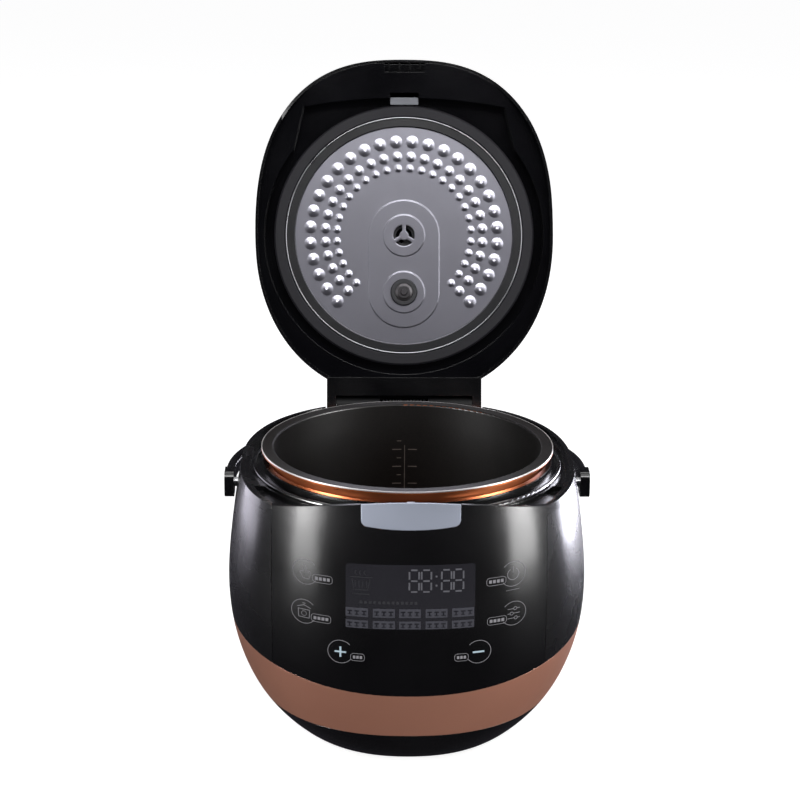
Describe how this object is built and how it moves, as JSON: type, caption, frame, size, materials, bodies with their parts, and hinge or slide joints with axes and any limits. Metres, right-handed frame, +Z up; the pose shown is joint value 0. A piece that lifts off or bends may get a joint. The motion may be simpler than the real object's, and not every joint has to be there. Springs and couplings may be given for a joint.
{
  "type": "rice cooker",
  "caption": "Multi-function electric rice cooker with a hinged, latched lid, lift-out coated pot, touch panel with display and folding carry handle.",
  "frame": {"origin": "on the pot's axis, in the plane of the foot ring's underside, where the cooker stands", "axes": "+Z up, -Y to the front with the display, +X to the right as seen from behind the display"},
  "size_m": [0.308, 0.4611, 0.5153],
  "materials": {
    "base_black": "gloss black moulding",
    "foot_rubber": "matte rubber",
    "screw_steel": "zinc plated",
    "rose_gold": "satin rose gold",
    "piano_black": "high gloss black",
    "window_glass": "smoked gloss window",
    "panel_black": "high gloss black with printed touch keys",
    "frame_black": "gloss black moulding",
    "hinge_black": "satin black moulding",
    "pin_steel": "bright ground steel",
    "spring_steel": "spring steel wire",
    "bracket_steel": "galvanised sheet",
    "element_steel": "dull sheathed element",
    "cast_aluminium": "machined casting",
    "fuse_metal": "metal capsule",
    "liner_metal": "satin sheet",
    "heater_foil": "foil heater band",
    "guide_steel": "pressed steel",
    "inner_plastic": "matte black moulding",
    "circuit_board": "green solder mask",
    "chip_black": "moulded package",
    "display_black": "display block",
    "copper_spring": "plated contact spring",
    "transformer_tape": "yellow winding tape",
    "relay_blue": "blue relay case",
    "capacitor_sleeve": "shrink sleeve",
    "inlet_black": "matte black moulding",
    "brass_pin": "plated contact",
    "wire_sleeve": "insulated wire",
    "liner_black": "satin gloss black moulding",
    "post_plastic": "dark metal post",
    "silicone_grey": "silicone",
    "pot_copper": "copper coloured outside, dark non-stick inside",
    "sensor_aluminium": "pressed aluminium cap",
    "button_silver": "satin silver",
    "hook_steel": "pressed steel",
    "handle_black": "gloss black moulding",
    "gasket_grey": "grey silicone",
    "ring_dark": "dark satin ring",
    "lid_aluminium": "satin anodised plate",
    "grommet_rubber": "dark silicone",
    "tab_silver": "satin plated",
    "valve_grey": "grey moulding",
    "valve_black": "gloss black moulding"
  },
  "bodies": {
    "body": {"base_cover": "base_black", "foot_ring": "foot_rubber", "base_screws": "screw_steel", "rose_band": "rose_gold", "outer_shell": "piano_black", "display_window": "window_glass", "front_panel": "panel_black", "top_frame": "frame_black", "hinge_tower": "hinge_black", "hinge_pin": "pin_steel", "lid_spring": "spring_steel", "heater_bracket": "bracket_steel", "heater_element": "element_steel", "heating_plate": "cast_aluminium", "thermal_fuse": "fuse_metal", "inner_liner": "liner_metal", "side_heater": "heater_foil", "sensor_guide": "guide_steel", "sensor_spring": "spring_steel", "latch_bracket": "inner_plastic", "latch_pin": "pin_steel", "latch_springs": "spring_steel", "handle_pins": "pin_steel", "control_board": "circuit_board", "board_chips": "chip_black", "display_module": "display_black", "touch_springs": "copper_spring", "power_board": "circuit_board", "transformer": "transformer_tape", "power_relay": "relay_blue", "filter_capacitors": "capacitor_sleeve", "power_inlet": "inlet_black", "inlet_pins": "brass_pin", "mains_wires": "wire_sleeve"},
    "lid": {"lid_cover": "piano_black", "lid_liner": "liner_black", "hinge_arm": "hinge_black", "lid_screws": "screw_steel", "lid_post": "post_plastic", "vent_tube": "silicone_grey", "valve_well": "inner_plastic"},
    "inner_pot": {"inner_pot": "pot_copper"},
    "sensor": {"sensor_cap": "sensor_aluminium"},
    "latch_button": {"latch_button": "button_silver"},
    "latch_hook": {"latch_hook": "hook_steel"},
    "handle": {"carry_handle": "handle_black"},
    "inner_lid": {"lid_gasket": "gasket_grey", "plate_ring": "ring_dark", "lid_plate": "lid_aluminium", "post_grommet": "grommet_rubber"},
    "release_tab": {"release_tab": "tab_silver"},
    "steam_valve": {"valve_cup": "valve_grey", "valve_cap": "valve_black"}
  },
  "joints": [
    {"name": "lid_hinge", "type": "hinge", "parent": "body", "child": "lid", "pos_m": [0, 0.156, 0.2174], "axis": [1, 0, 0], "range_deg": [0, 107], "stiffness_Nm_per_rad": 1.3, "springref_deg": -14.32, "deforming": ["lid_spring"]},
    {"name": "pot_lift", "type": "slide", "parent": "body", "child": "inner_pot", "axis": [0, 0, -1], "range_m": [-0.19, 0]},
    {"name": "sensor_press", "type": "slide", "parent": "body", "child": "sensor", "axis": [0, 0, 1], "range_m": [-0.0025, 0], "stiffness_N_per_m": 400, "springref_m": 0.002, "deforming": ["sensor_spring"]},
    {"name": "latch_press", "type": "slide", "parent": "body", "child": "latch_button", "axis": [0, 1, 0], "range_m": [0, 0.002], "stiffness_N_per_m": 600, "springref_m": -0.002, "deforming": ["latch_springs"]},
    {"name": "hook_turn", "type": "hinge", "parent": "body", "child": "latch_hook", "pos_m": [0, -0.15, 0.211], "axis": [-1, 0, 0], "range_deg": [0, 6]},
    {"name": "handle_swing", "type": "hinge", "parent": "body", "child": "handle", "pos_m": [0, -0.005, 0.2], "axis": [1, 0, 0], "range_deg": [0, 5]},
    {"name": "inner_lid_lift", "type": "slide", "parent": "lid", "child": "inner_lid", "axis": [0, 0.9563, -0.2924], "range_m": [-0.03, 0]},
    {"name": "tab_press", "type": "slide", "parent": "lid", "child": "release_tab", "axis": [0, -0.2924, -0.9563], "range_m": [-0.0022, 0], "stiffness_N_per_m": 400, "springref_m": 0.002},
    {"name": "valve_lift", "type": "slide", "parent": "lid", "child": "steam_valve", "axis": [0, 0.9563, -0.2924], "range_m": [0, 0.03]}
  ],
  "couplings": [
    {"joint": "hook_turn", "follows": "latch_press", "rad_per_m": 50}
  ]
}
